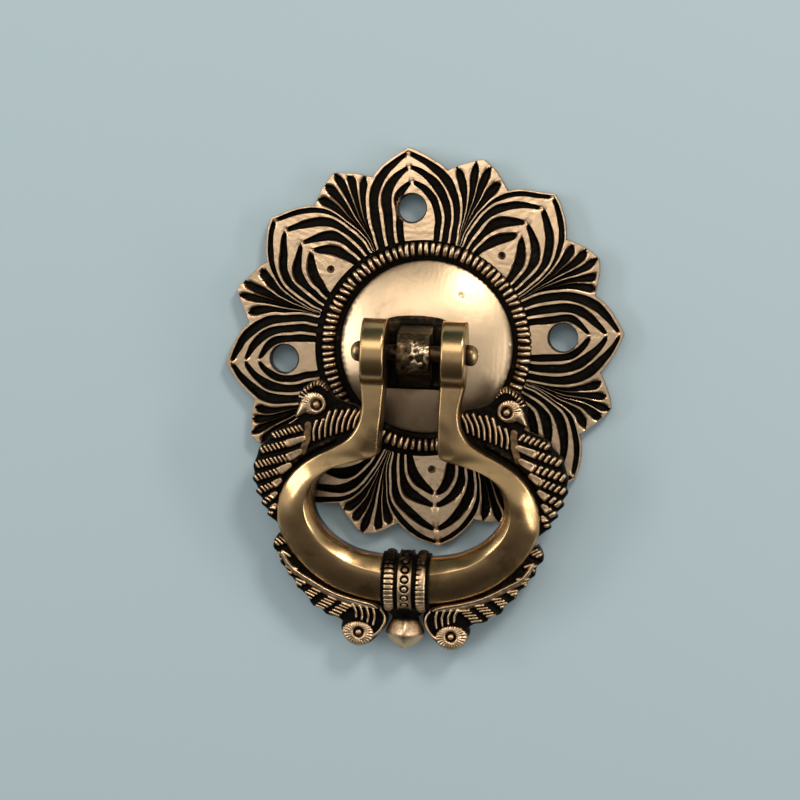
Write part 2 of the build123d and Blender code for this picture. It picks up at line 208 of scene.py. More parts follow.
def lathe(profile, steps, axis="depth", lift=None):
    """Closed turned shape. Profile points are (distance from the axis, place along it), a closed outline."""
    profile = np.asarray(profile, float)
    turn = np.arange(steps) * 2 * math.pi / steps
    radius, place = (column[:, None] * np.ones(steps) for column in profile.T)
    if lift is not None:
        radius, place = lift(radius, place, turn[None, :])
    u, v = radius * np.cos(turn), radius * np.sin(turn)
    points = np.stack({"depth": [u, place, v], "x": [place, u, v], "z": [u, v, place]}[axis], -1)
    first = np.arange(steps)
    last = first + (len(profile) - 1) * steps
    closing = np.stack([last, np.roll(last, -1), np.roll(first, -1), first], -1)
    return points.reshape(-1, 3), np.vstack([grid_faces(len(profile), steps, wrap=True), closing])


def slots(turn, count):
    """Which of `count` equal slots round an axis each angle falls in, and where in it, -0.5 to 0.5."""
    spot = turn / (2 * math.pi) * count
    return np.floor(spot).astype(int) % count, spot - np.floor(spot) - 0.5


# ---------------- materials
def add_node(tree, kind, inputs=(), **settings):
    """A shader node with its settings; each input takes a value or another node's output."""
    node = tree.nodes.new("ShaderNode" + kind)
    for name, value in settings.items():
        setattr(node, name, value)
    for key, value in dict(inputs).items():
        if isinstance(value, bpy.types.NodeSocket):
            tree.links.new(value, node.inputs[key])
        else:
            node.inputs[key].default_value = value
    return node


def colour_ramp(tree, fac, spots, colours):
    """Smooth blend of colours along `fac`, each at its own spot."""
    node = add_node(tree, "ValToRGB", {"Fac": fac})
    elements = node.color_ramp.elements
    node.color_ramp.interpolation = "EASE"
    while len(elements) < len(colours):
        elements.new(0.5)
    for element, spot, colour in zip(elements, spots, colours):
        element.position = spot
        element.color = (*colour, 1)
    return node.outputs["Color"]


def blank_material(name):
    material = bpy.data.materials.new(name)
    material.use_nodes = True
    material.node_tree.nodes.clear()
    return material, material.node_tree


def shade(name, colours, rough, grain, bump, cavity=0.0012, streak=None):
    """Aged brass: dark patina in the recesses and rubbed bright metal on what stands out, broken up by noise;
    on the dome, hinge block and bow the same mask also holds painted shade, a painted highlight and painted
    reflections.

    Colours are for recesses, middle and worn parts, rough for (worn, recessed) ones. Streak is the scale,
    stretch and strength of brush marks.
    """
    material, tree = blank_material(name)
    place = add_node(tree, "TexCoord").outputs["Object"]

    def noise_at(scale, detail, stretch=(1, 1, 1)):
        spread = add_node(tree, "Mapping", {"Vector": place, "Scale": stretch}).outputs["Vector"]
        return add_node(tree, "TexNoise", {"Vector": spread, "Scale": scale, "Detail": detail}).outputs["Fac"]

    def calc(kind, *values, clamp=False):
        return add_node(tree, "Math", enumerate(values), operation=kind, use_clamp=clamp).outputs[0]

    def sway(value, amount):
        return calc("MULTIPLY", calc("SUBTRACT", value, 0.5), amount)

    # This mask holds patina and wear, and on some pieces also painted shade, a painted highlight and painted
    # reflections.
    wear_and_shade = add_node(tree, "Attribute", attribute_name="wear_and_shade").outputs["Fac"]
    hollow = add_node(tree, "AmbientOcclusion", {"Distance": cavity}, samples=6, only_local=True)
    blotch, speck = noise_at(grain * 0.22, 4.0), noise_at(grain, 5.0)
    shown = calc("MULTIPLY", wear_and_shade, calc("POWER", hollow.outputs["AO"], 1.3))
    broken = calc("ADD", calc("ADD", shown, sway(speck, 0.42)), sway(blotch, 0.55), clamp=True)
    height = calc("ADD", speck, calc("MULTIPLY", noise_at(grain * 3.1, 4.0), 0.5))
    if streak is not None:
        height = calc("ADD", height, calc("MULTIPLY", noise_at(streak[0], 2.0, streak[1]), streak[2]))
    grooves = add_node(tree, "Bump", {"Strength": bump, "Distance": 0.0002, "Height": height})
    base_rough = calc("MULTIPLY_ADD", broken, rough[0] - rough[1], rough[1])
    surface = {
        "Metallic": 1.0,
        "Base Color": colour_ramp(tree, broken, (0.18, 0.5, 0.86), colours),
        "Roughness": calc("ADD", base_rough, sway(speck, 0.14)),
        "Normal": grooves.outputs["Normal"],
    }
    metal = add_node(tree, "BsdfPrincipled", surface)
    add_node(tree, "OutputMaterial", {"Surface": metal.outputs["BSDF"]})
    return material


BLACK = (0.01, 0.008, 0.006)
ROSETTE_BRASS = shade(
    "rosette_brass", (BLACK, (0.19, 0.105, 0.048), (0.7, 0.465, 0.275)), (0.32, 0.62), 900, 0.35, 0.0022
)
BIRD_BRASS = shade("bird_brass", (BLACK, (0.24, 0.14, 0.068), (0.72, 0.48, 0.28)), (0.3, 0.6), 1100, 0.3)
DOME_BRASS = shade(
    "dome_brass", ((0.12, 0.07, 0.035), (0.52, 0.33, 0.17), (0.8, 0.555, 0.335)), (0.38, 0.5),
    420, 0.18, 0.0008, (900, (1, 1, 0.06), 1.2),
)
POLISHED_BRASS = shade(
    "polished_brass", ((0.03, 0.018, 0.01), (0.27, 0.155, 0.068), (0.58, 0.355, 0.16)), (0.2, 0.5),
    520, 0.07, 0.001, (500, (1, 1, 0.15), 0.5),
)
DARK_BRASS = shade("dark_brass", (BLACK, (0.13, 0.075, 0.035), (0.66, 0.46, 0.29)), (0.3, 0.5), 800, 0.3)
PIN_BRASS = shade("pin_brass", (BLACK, (0.22, 0.13, 0.06), (0.6, 0.4, 0.2)), (0.28, 0.5), 900, 0.25, 0.0008)
STEEL = shade("zinc_steel", ((0.1,) * 3, (0.42, 0.42, 0.41), (0.62, 0.62, 0.6)), (0.38, 0.5), 900, 0.15)

# ---------------- rosette
# Each petal is a family of nested outlines: half width, tip radius, taper power, widest radius and level.
# Level 0 is the plate's front surface and -1 the floor of a groove.
SCREW_PETAL = [
    (0, 36, 2, 35.5, 0), (3.7, 41, 2, 35.5, 0), (4.1, 41.7, 2, 35.5, 0),
    (4.5, 42, 2.6, 35.3, -1), (5.6, 42.3, 3, 35.2, -1), (6, 42.8, 3.2, 35, 0),
    (6.6, 45.7, 2.1, 34.8, 0), (7, 46.1, 2.2, 34.8, -1), (8.3, 46.5, 2.9, 34.6, -1),
    (8.7, 47, 3.1, 34.5, 0), (9.3, 49.4, 2.3, 34.5, 0), (9.7, 49.8, 2.4, 34.5, -1),
    (11, 50.2, 3, 34.5, -1), (11.4, 50.6, 3.1, 34.5, 0), (11.9, TIP_R, 3.1, 34.5, 0),
]
PLAIN_PETAL = [
    (0, 31, 1.3, 27, 0), (4.1, 36.2, 1.45, 27, 0), (4.5, 36.9, 1.5, 27, 0),
    (4.9, 37.3, 1.9, 27.5, -1), (5.9, 37.9, 2.4, 29, -1), (6.3, 38.4, 2.5, 30, 0),
    (6.9, 40.3, 1.9, 31, 0), (7.3, 40.7, 2, 31.5, -1), (8.1, 40.9, 3.2, 32, -1),
    (8.5, 41.4, 3.4, 32.5, 0), (9.1, 45.8, 2, 33, 0), (9.4, 46.2, 2.1, 33.3, -1),
    (10.2, 46.7, 2.7, 33.8, -1), (10.6, 47.2, 2.9, 34, 0), (11.1, 49.6, 2.5, 34.3, 0),
    (11.3, 50, 2.6, 34.4, -1), (11.6, 50.5, 3, 34.4, -1), (11.75, 50.8, 3.05, 34.5, 0),
    (11.9, TIP_R, 3.1, 34.5, 0),
]
GROOVE = 1.25               # depth of a groove
FAN_GROOVES = (5, 4, 5, 4, 5, 5, 4, 5)
FAN_COLUMNS = 56
SIDE_ROWS = 46              # samples from a petal's root to its notch
TIP_ROWS = 30               # and from the notch to its tip


def front_depth(radius):
    """Depth of the rosette's front surface at a radius."""
    return 5.5 - 0.062 * (radius - 28.4) - 0.0016 * (radius - 28.4) ** 2


def root_of(half, widest):
    """Half width of a petal outline at its root, and the root's distance along the petal."""
    root_half = half * (1 - 0.0019 * (widest - 26.5) ** 2)
    return root_half, np.sqrt(ROOT_R**2 - root_half**2)


def petal_grid(stations):
    """Points of one petal along +X: rows of nested outlines, columns from the root to the tip."""
    table = np.array(stations)
    last = len(table) - 1
    steps = np.concatenate([np.linspace(i, i + 1, 4)[:-1] for i in range(last)] + [[last]])
    half, tip, power, widest, _ = (np.interp(steps, np.arange(last + 1), column) for column in table.T)
    below = np.floor(steps).astype(int)
    low, high = table[below, 4], table[np.minimum(below + 1, last), 4]
    level = low + (high - low) * smooth(steps - below)
    root_half, root = root_of(half, widest)
    notch = (NOTCH_R * math.cos(math.radians(NOTCH_ANGLE)) - root[-1]) / (tip[-1] - root[-1])
    beyond = notch + (1 - notch) * np.linspace(0, 1, TIP_ROWS)[1:]
    share = np.concatenate([np.linspace(0, notch, SIDE_ROWS), beyond])
    a = root[:, None] + (tip - root)[:, None] * share[None, :]
    outer = np.clip((a - widest[:, None]) / (tip - widest)[:, None], 0, 1)
    inner = np.clip(widest[:, None] - a, 0, None)
    b = half[:, None] * (1 - outer ** power[:, None]) * (1 - 0.0019 * inner**2)
    b[:, 0] = root_half
    return a, b, level[:, None] * smooth(b, 0.05, 1.3)


def fan_grid(left, right, number, rng):
    """Points and levels of the fan between two petals' sides, with `number` grooves."""
    v = np.linspace(0, 1, FAN_COLUMNS)
    t = np.linspace(0, 1, SIDE_ROWS)
    angle_a, angle_b = (np.unwrap(np.arctan2(edge[:, 1], edge[:, 0])) for edge in (left, right))
    angle_b += 2 * math.pi * np.round((angle_a[0] - angle_b[0]) / (2 * math.pi))
    radius = np.hypot(left[:, 0], left[:, 1])
    bulge = (FAN_R - NOTCH_R) * (1 - np.abs(2 * v - 1) ** 1.15)
    r = radius[:, None] + bulge[None, :] * t[:, None] ** 1.6
    angle = angle_a[:, None] + (angle_b - angle_a)[:, None] * v[None, :]
    grid = np.stack([r * np.cos(angle), r * np.sin(angle)], -1)
    grid[:, 0], grid[:, -1] = left, right
    width = radius * np.abs(angle_b - angle_a)
    grooves = (np.arange(number) + 0.5) / number
    grooves[1:-1] += rng.uniform(-0.03, 0.03, number - 2)
    to_edge = r[-1][None, :] - r
    level = np.zeros(r.shape)
    for groove in grooves:
        distance = np.abs(v[None, :] - groove) * width[:, None]
        half = np.minimum(0.88, 0.35 * width / number)[:, None]
        half = half * np.sqrt(smooth(to_edge, rng.uniform(0.0, 0.6), rng.uniform(1.0, 2.6))) + 1e-3
        level = np.minimum(level, -smooth(-distance / half, -1.3, -0.55))
    level[:, 0] = level[:, -1] = 0
    return grid, level


def flower_plan():
    """Regular plan of the rosette's front: (x, z) points, their levels and the faces."""
    grids, edges = [], {}
    rng = np.random.default_rng(11)
    for k in range(8):
        a, b, level = petal_grid(SCREW_PETAL if k in SCREW_PETALS else PLAIN_PETAL)
        turn = math.radians(TURN + 45 * k)
        for side in (1, -1):
            x = a * math.cos(turn) - side * b * math.sin(turn)
            z = a * math.sin(turn) + side * b * math.cos(turn)
            grids.append((np.stack([x, z], -1), level))
            edges[(k, side)] = grids[-1][0][-1, :SIDE_ROWS]
    for k in range(8):
        grids.append(fan_grid(edges[(k, 1)], edges[((k + 1) % 8, -1)], FAN_GROOVES[k], rng))
    count, faces = 0, []
    for grid, _ in grids:
        faces.append(grid_faces(*grid.shape[:2], count))
        count += grid.shape[0] * grid.shape[1]
    plan = np.vstack([grid.reshape(-1, 2) for grid, _ in grids])
    return plan, np.concatenate([level.reshape(-1) for _, level in grids]), np.vstack(faces)


def rosette():
    """The back plate: the regular plan made a little irregular, with grooves and worn ridges."""
    plan, level, faces = flower_plan()
    x, z = plan.T
    r = np.hypot(x, z)
    wobble = smooth(r, ROOT_R + 0.5, ROOT_R + 4)
    skew = -0.052 * np.exp(-((np.angle(np.exp(1j * (np.arctan2(z, x) - 1.68))) / 0.4) ** 2))
    skew *= 1 - smooth(r, 31, 47)
    spots = np.column_stack([x * np.cos(skew) - z * np.sin(skew), 0 * x, x * np.sin(skew) + z * np.cos(skew)])
    for column, seed in ((0, 3), (2, 4)):
        spots[:, column] += wobble * (0.28 * relief(spots, 5.0, seed) + 0.05 * relief(spots, 1.5, seed + 5))
    depth = front_depth(r) + level * GROOVE * (1 + 0.18 * relief(spots, 5.0, 5))
    depth += 0.05 * relief(spots, 0.8, 6) * (0.6 - level) + 0.12 * relief(spots, 9.0, 7)
    points = np.column_stack([spots[:, 0], depth, spots[:, 2]])
    return close_plate(*weld(points, faces, 0.06 + 0.94 * smooth(level, -0.75, -0.12)))


def close_plate(points, loops, wear_and_shade):
    """Adds the plate's moulded edge, its flat back and the opening behind the dome."""
    border = np.array(sorted({v for edge in rim_loops(loops) for v in edge}))
    radius = np.hypot(points[border, 0], points[border, 2])
    turn = np.arctan2(points[:, 2], points[:, 0])
    outer, inner = (ring[np.argsort(turn[ring])] for ring in (border[radius > 40], border[radius < 30]))
    turn_out, turn_in = turn[outer], turn[inner]
    x, front, z = points[outer].T
    reach = np.hypot(x, z)
    points, wear_and_shade = list(points), list(wear_and_shade)

    def add_ring(base, x, depth, z, worn_and_shaded):
        ring = np.arange(len(points), len(points) + len(x))
        points.extend(np.column_stack([x, depth + 0 * x, z]))
        wear_and_shade.extend([worn_and_shaded] * len(x))
        loops.extend(np.column_stack([base, np.roll(base, -1), np.roll(ring, -1), ring]).tolist())
        return ring

    back_ring = outer
    for step, depth, worn_and_shaded in ((0.16, front - 0.3, 0.7), (0.3, 0.9, 0.35), (0.32, 0.15, 0.3), (0.1, 0, 0.3)):
        back_ring = add_ring(back_ring, x + x / reach * step, depth, z + z / reach * step, worn_and_shaded)
    for r, depth, worn_and_shaded in ((44.0, 0, 0.45), (32.0, 0, 0.45), (19.3, 0, 0.45), (19.0, 0.3, 0.4)):
        back_ring = add_ring(back_ring, r * np.cos(turn_out), depth, r * np.sin(turn_out), worn_and_shaded)
    ring = inner
    for r, depth in ((27.3, LAND_DEPTH), (19.3, LAND_DEPTH), (19.0, LAND_DEPTH - 0.3)):
        ring = add_ring(ring, r * np.cos(turn_in), depth, r * np.sin(turn_in), 0.12)
    i = j = 0
    while i < len(ring) or j < len(back_ring):
        ahead_i = turn_in[i + 1] if i + 1 < len(ring) else math.pi
        ahead_j = turn_out[j + 1] if j + 1 < len(back_ring) else math.pi
        a, b = ring[i % len(ring)], back_ring[j % len(back_ring)]
        if j >= len(back_ring) or (i < len(ring) and ahead_i <= ahead_j):
            loops.append([a, ring[(i + 1) % len(ring)], b])
            i += 1
        else:
            loops.append([a, back_ring[(j + 1) % len(back_ring)], b])
            j += 1
    return np.array(points), loops, np.array(wear_and_shade)


def drill(obj):
    """Cuts the screw holes right through, and the dimples of the plain petals."""
    cutters = []
    for k in range(8):
        turn = math.radians(TURN + 45 * k)
        r, outline, steps, reach = SCREW_HOLE if k in SCREW_PETALS else DIMPLE
        place = np.array([r * math.cos(turn), 0, r * math.sin(turn)])
        points, faces = lathe(outline, steps)
        points, loops, _ = weld(points + place, faces, np.zeros(len(points)))
        cutter = add_object("cutter", new_mesh("cutter", points, loops, 40))
        cutters.append((cutter, place, reach))
        modifier = obj.modifiers.new("drill", "BOOLEAN")
        modifier.operation = "DIFFERENCE"
        modifier.solver = "EXACT"
        modifier.object = cutter
    drilled = applied(obj)
    obj.modifiers.clear()
    obj.data = drilled
    spots = vectors_of(drilled, "co") / MM
    values = np.zeros(len(spots), np.float32)
    drilled.attributes["wear_and_shade"].data.foreach_get("value", values)
    for cutter, place, reach in cutters:
        distance = np.hypot(spots[:, 0] - place[0], spots[:, 2] - place[2])
        values[(distance < reach) & (spots[:, 1] > 3)] = 0.75
        values[(distance < reach - 0.5) & (spots[:, 1] < 4.9)] = 0.12
        bpy.data.objects.remove(cutter)
    drilled.attributes["wear_and_shade"].data.foreach_set("value", values)
    smooth_mesh(drilled, 50)


drill(piece("rosette_plate", *rosette(), ROSETTE_BRASS, "plate", "antique_brass", "backplate"))

# ---------------- ribbed ring and dome
RING_IN, RING_OUT, RING_CREST = 23.2, 26.8, 7.4
RIBS = 96
CENTRE = np.array([0.9, 0, 0.35])           # ring and dome were cast a little off the rosette's middle


def ribbed_ring():
    across = np.linspace(0, math.pi, 15)
    middle, half = (RING_IN + RING_OUT) / 2, (RING_OUT - RING_IN) / 2
    profile = [(middle + half, LAND_DEPTH - 0.1)]
    profile += [(middle + half * math.cos(a), 5.9 + (RING_CREST - 5.9) * math.sin(a)) for a in across]
    profile += [(middle - half, LAND_DEPTH - 0.1)]
    rng = np.random.default_rng(21)
    ranges = (0.35, 1.1), (-0.3, 0.3), (-0.25, 0.35)
    tall, shift, tilt = (rng.uniform(*span, RIBS) for span in ranges)

    def lift(radius, place, turn):
        number, phase = slots(turn, RIBS)
        slant = (radius - middle) / half * tilt[number] * 0.5
        phase = phase + shift[number] * 0.4 + slant
        bump = np.clip(1 - (np.abs(phase) / 0.42) ** 2.4, 0, 1) ** 0.5
        spots = np.stack([radius * np.cos(turn), 0 * radius, radius * np.sin(turn)], -1)
        dent = np.clip(relief(spots, 0.8, 22), -1, 1)
        top = smooth(place, 5.2, 6.4)
        return radius, place - top * (1.15 * (1 - bump) + 0.45 * (1 - tall[number]) + 0.16 * dent)

    points, faces = lathe(profile, RIBS * 10, lift=lift)
    return points + CENTRE, faces, 0.04 + 0.96 * smooth(points[:, 1], 6.2, 7.05)


piece("gadroon_ring", *ribbed_ring(), ROSETTE_BRASS, "plate", "antique_brass", "ribbed_ring")


def dome():
    """Low polished dome: a cap of a ball 22.2 mm out and 5.5 mm high, hollow behind."""
    ball = (22.2**2 + 5.5**2) / (2 * 5.5)
    radii = np.concatenate([np.linspace(2.7, 21.6, 64), [21.9, 22.1, 22.2]])
    top = 10.0 - (ball - np.sqrt(ball**2 - radii**2))
    top[-3:] -= (0.02, 0.12, 0.35)
    profile = [(2.7, 6.4)] + list(zip(radii, top)) + [(22.2, 4.5), (19.0, 4.5), (13.0, 6.4)]

    def lift(radius, place, turn):
        x, z = radius * np.cos(turn), radius * np.sin(turn)
        face = smooth(place, 4.6, 5.2) * smooth(radius, 2.7, 4)
        place = place + face * 0.05 * relief(np.stack([x, 0 * x, z], -1), 7.0, 31)
        return radius, place - face * 0.35 * np.exp(-((x - 8.6) ** 2 + (z - 13.4) ** 2) / 0.3)

    points, faces = lathe(profile, 220, lift=lift)
    r = np.hypot(points[:, 0], points[:, 2])
    wear_and_shade = 0.9 - 0.75 * smooth(r, 21.6, 22.15) + 0.1 * relief(points, 6.0, 32)
    under = points[:, 1] < 9.6 - (ball - np.sqrt(np.clip(ball**2 - r**2, 0, None)))
    wear_and_shade[under & (r < 21)] = 0.5
    outward = smooth(r, 4, 12)[:, None]
    points = points + CENTRE * outward + PIN_PLACE * (1 - outward)
    # Painted shade: the dome is darkened within about 9 to 12 mm of the pin, where the hinge block and ears
    # shade it.
    near = np.hypot(points[:, 0] - PIN_X, points[:, 2] - PIN_Z)
    return points, faces, wear_and_shade - 0.3 * smooth(-near, -12.0, -9.0)


piece("brushed_dome", *dome(), DOME_BRASS, "plate", "satin_brass", "centre_boss")


# ---------------- hinge post
def solid_from(parts, voxel):
    """Points, normals and faces of one closed mesh made from several overlapping ones."""
    points, faces = [], []
    for part, part_faces in parts:
        faces += [[i + len(points) for i in face] for face in part_faces]
        points += list(part)
    obj = add_object("solid_form", new_mesh("solid_form", points, faces, 50))
    remesh = obj.modifiers.new("remesh", "REMESH")
    remesh.mode = "VOXEL"
    remesh.voxel_size = voxel * MM
    soften = obj.modifiers.new("soften", "SMOOTH")
    soften.factor, soften.iterations = 0.6, 3
    result = applied(obj)
    bpy.data.objects.remove(obj)
    faces = [list(face.vertices) for face in result.polygons]
    return vectors_of(result, "co") / MM, vectors_of(result, "normal"), faces


def bar(rows):
    """Closed solid from rows of points, each one the outline at its own x."""
    n, last = len(rows[0]), (len(rows) - 1) * len(rows[0])
    faces = grid_faces(len(rows), n, wrap=True).tolist()
    faces += [list(range(n))[::-1], list(range(last, last + n))]
    return [p for row in rows for p in row], faces


def hinge_post():
    """Low block on the dome, the rounded lug that the pin goes through, and the shank behind."""
    arc = np.radians(np.arange(90, -91, -12))
    lug = [(9.0, 7.2), (13.2, 6.6)] + [(PIN_DEPTH + 5.2 * math.cos(a), 5.2 * math.sin(a)) for a in arc]
    lug += [(10.4, -9.0), (9.0, -9.0)]
    block = [(7.4, 8.6), (9.2, 9.2), (10.1, 8.8), (10.6, 7.8), (10.7, 5)]
    block += [(10.7, -8.6), (10.2, -9.4), (7.4, -9.6)]
    rows = []
    for x in np.linspace(-8, 8, 9):
        end = abs(x) > 7.9
        fall = 0.9 * (x / 8) ** 2 + 0.25 * end
        rows.append([(x, d - 0.3 * (end and d > 9), z - fall * (z > 5)) for d, z in block])
    shank, shank_faces = lathe([(0, 1.7), (2.3, 1.7), (2.5, 2.0), (2.5, 8.6), (0, 8.6)], 40)
    shank, shank_faces, _ = weld(shank, shank_faces, np.zeros(len(shank)))
    lug_bar = bar([[(x, d, z) for d, z in lug] for x in (-4.15, 4.15)])
    parts = [lug_bar, bar(rows), (shank, shank_faces)]
    points, normals, faces = solid_from(parts, 0.2)
    nose = smooth(points[:, 1], 18.5, 22.5) * smooth(-np.abs(points[:, 0]), -4.3, -3.6)
    rough_side = smooth(points[:, 0], -1.6, 0.6) * (1 - smooth(np.abs(points[:, 2] - 0.1), 1.8, 3.4))
    pits = 0.6 * relief(points, 1.1, 41) + 0.4 * relief(points, 0.5, 44)
    shift = nose * rough_side * 0.42 * np.clip(pits, -0.35, 0.6) + 0.03 * relief(points, 1.2, 42)
    shift += 0.1 * nose * (1 - rough_side) * relief(points, 2.2, 43)
    points = points + normals * shift[:, None]
    points[:, 0] += 0.35 * smooth(points[:, 1], 7, 9) + 0.45 * smooth(points[:, 1], 11, 15)
    wear_and_shade = 0.2 + 0.8 * nose * (0.3 + 0.7 * rough_side) * smooth(pits, -0.35, 0.3)
    # Painted highlight: the block's top front edge is made lighter, where light falls on it.
    wear_and_shade += 0.35 * smooth(points[:, 2], 8.2, 9.0) * smooth(points[:, 1], 9.4, 10.2)
    wear_and_shade += 0.12 * smooth(points[:, 1], 12, 16)
    return points + PIN_PLACE, faces, wear_and_shade


piece("hinge_lug", *hinge_post(), DARK_BRASS, "plate", "dark_brass", "hinge_post", 80)

# ---------------- knocker: ears, arms and bow
EAR_R = 8.3
EAR_SHIFT = 0.9             # ears, pin and lug stand a little to the right of the arms, as cast
# Pairs of points across the right half of the casting, from the arm down round the bow to its middle:
# inner x and z, outer x and z, place of the crest across the width, drop at the inner and outer edge.
BOW_SECTIONS = [
    (6.9, -8, 12.9, -8, 0.5, 0.1, 0.1),
    (6.95, -11, 12.4, -11, 0.5, 0.1, 0.1),
    (7, -14.5, 12.1, -14.4, 0.48, 0.12, 0.15),
    (7.2, -18.6, 12.9, -18.4, 0.45, 0.2, 0.3),
    (7.35, -22.2, 15.2, -22, 0.42, 0.35, 0.6),
    (7.6, -24.9, 18.8, -24.4, 0.38, 0.55, 1),
    (8.6, -26.4, 23, -26.6, 0.16, 0.35, 1.5),
    (11.8, -27.3, 27.1, -29.4, 0.12, 0.4, 2.1),
    (16.2, -28.4, 30.3, -32.9, 0.12, 0.6, 2.6),
    (20.4, -30.5, 32.4, -36.8, 0.14, 1, 2.9),
    (23.3, -33.9, 33.3, -40.9, 0.17, 1.6, 3.1),
    (24.3, -38.3, 33.1, -45, 0.2, 2.1, 3.1),
    (23.4, -42.2, 31.6, -48.8, 0.23, 2.5, 3.1),
    (21, -45.7, 29.3, -52.4, 0.26, 2.8, 3.1),
    (17.8, -48.4, 26.3, -55.7, 0.28, 2.9, 3.1),
    (14.1, -50.4, 22.4, -58.8, 0.3, 2.9, 3.1),
    (10.6, -51.4, 18, -61.1, 0.31, 2.9, 3.1),
    (7, -51.9, 12.5, -62.9, 0.32, 2.9, 3.1),
    (3.5, -52.2, 6.4, -64, 0.33, 2.9, 3.1),
    (0, -52.3, 0, -64.5, 0.33, 2.9, 3.1),
]
SIDE_Z = [-65.7, -48.3, -29.8, -16.4, -6.0, 2.0]
SIDE_FRONT = [12.9, 14.6, 18.6, 21.2, 22.6, 23.4]
SIDE_BACK = [4.2, 5.1, 8.1, 11.2, 14.0, 16.4]
CORNER = 0.8


def casting_depths(z):
    """Front and back depth of the knocker casting at a height."""
    front, back = along(z, SIDE_Z, SIDE_FRONT), along(z, SIDE_Z, SIDE_BACK)
    disc = np.sqrt(np.clip(EAR_R**2 - z**2, 0, None))
    near = z > -EAR_R
    front = np.where(near, np.maximum(front * (z < -5), PIN_DEPTH + disc), front)
    back = np.where(near, np.where(z < -5, np.minimum(back, PIN_DEPTH - disc), PIN_DEPTH - disc), back)
    return front, back


def section(inner, outer, crest, fall_in, fall_out):
    """Closed loop of points round one section of the casting."""
    inner, outer = np.array(inner), np.array(outer)
    length = np.linalg.norm(outer - inner)
    middle_z = (inner[1] + outer[1]) / 2
    front, back = casting_depths(np.array(middle_z))
    corner = min(CORNER, 0.49 * float(front - back))
    bend = np.radians(np.linspace(0, 90, 6))
    near = corner * (1 - np.cos(bend))
    drop = corner * (1 - np.sin(bend))
    c = crest * length
    flat_in = np.linspace(corner, c - 0.32, 8)[1:]
    flat_out = np.linspace(c + 0.32, length - corner, 20)[:-1]
    across = np.concatenate([near, flat_in, [c - 0.12, c, c + 0.12], flat_out, length - near[::-1]])
    rounding = np.concatenate([drop, np.zeros(len(across) - 2 * len(drop)), drop[::-1]])
    fall = np.where(
        across < c,
        fall_in * np.clip((c - across) / c, 0, 1) ** 1.2,
        fall_out * np.clip((across - c) / (length - c), 0, 1) ** 2.1,
    )
    place = inner[None, :] + (outer - inner)[None, :] * (across / length)[:, None]
    front, back = casting_depths(place[:, 1])
    thick = front - back
    fall = np.minimum(fall + rounding, 0.499 * thick)
    front = front - fall
    back = back + np.minimum(rounding, 0.499 * thick)
    front_side = np.column_stack([place[:, 0], front, place[:, 1]])
    back_side = np.column_stack([place[:, 0], back, place[:, 1]])[::-1]
    share = np.array([0.33, 0.67])[:, None]
    wall_out = front_side[-1] + (back_side[0] - front_side[-1]) * share
    wall_in = back_side[-1] + (front_side[0] - back_side[-1]) * share
    return np.vstack([front_side, wall_out, back_side, wall_in])


def bow():
    """The two ears, arms and the ring in one closed shape, each half made of sections in a row."""
    ear = [(6.9, z, 12.9, z, 0.5, 0.08, 0.08) for z in EAR_R * np.cos(np.radians(np.linspace(0, 158, 60)))]
    stations = ear + list(catmull(BOW_SECTIONS, 10))
    rings = [section(r[:2], r[2:4], *r[4:]) for r in stations]
    columns = len(rings[0])
    right = np.vstack(rings)
    faces = grid_faces(len(rings), columns, wrap=True)
    points = np.vstack([right, right * (-1, 1, 1)])
    faces = np.vstack([faces, faces[:, ::-1] + len(right)])
    front_count = (columns - 4) // 2
    worn_and_shaded = np.full(columns, 0.35)
    worn_and_shaded[:front_count] += 0.5 - 0.25 * smooth(np.arange(front_count), 0.8 * front_count, front_count)
    worn_and_shaded = np.tile(worn_and_shaded, len(rings) * 2)
    # Painted reflection: random dark patches on the lower bow stand in for dark surroundings mirrored in the
    # polished metal.
    worn_and_shaded -= 0.32 * np.clip(relief(points, 5.0, 52), 0, 1) * smooth(-points[:, 2], 30, 40)
    points, faces, worn_and_shaded = weld(points, faces, worn_and_shaded)
    wave = 0.13 * relief(points, 5.5, 51) + 0.04 * relief(points, 2.4, 53)
    points[:, 1] += wave * smooth(points[:, 1], 8, 12) * smooth(-points[:, 2], 10, 18)
    points[:, 0] += EAR_SHIFT * smooth(points[:, 2], -24, -2)
    return points + PIN_PLACE, faces, worn_and_shaded


piece("bow_casting", *bow(), POLISHED_BRASS, "knocker", "bronze_brass", "knocker_bow", 40)


def pin():
    head = [(2.6 * math.cos(a), 13.8 + 2.1 * math.sin(a)) for a in np.radians(np.arange(0, 90, 9))]
    right = [(2.0, 12.9), (2.45, 12.9), (2.6, 13.1)] + head + [(0.0, 15.9)]
    left = [(r, -x) for r, x in right][::-1]

    def lift(radius, place, turn):
        spots = np.stack([place, radius * np.cos(turn), radius * np.sin(turn)], -1)
        shift = 0.07 * relief(spots, 1.5, 61) * smooth(np.abs(place), 13.0, 13.6)
        return radius + shift * (radius > 0.01), place

    points, faces = lathe(left + right, 48, "x", lift)
    wear_and_shade = 0.3 + 0.5 * smooth(np.abs(points[:, 0]), 13.4, 15.0)
    return weld(points + np.array([PIN_X + EAR_SHIFT, PIN_DEPTH, PIN_Z]), faces[:-48], wear_and_shade)


piece("hinge_pin_peened", *pin(), PIN_BRASS, "knocker", "bronze_brass", "hinge_pin", 40)

# ---------------- collar and finial
CAST = BIRD_BRASS, "knocker", "antique_brass"
COLLAR_LOW, COLLAR_HIGH = size_of("collar_beaded_band")
COLLAR_PLACE = np.array([PIN_X, *np.round((COLLAR_LOW + COLLAR_HIGH)[1:] / 2, 2)])
COLLAR_R = round((COLLAR_HIGH - COLLAR_LOW)[2] / 2, 2)
BEADS = 19
RIBS_ROUND = 36             # notches round each outer band
BOARD_GAP = 0.03            # the collar stays just off the board


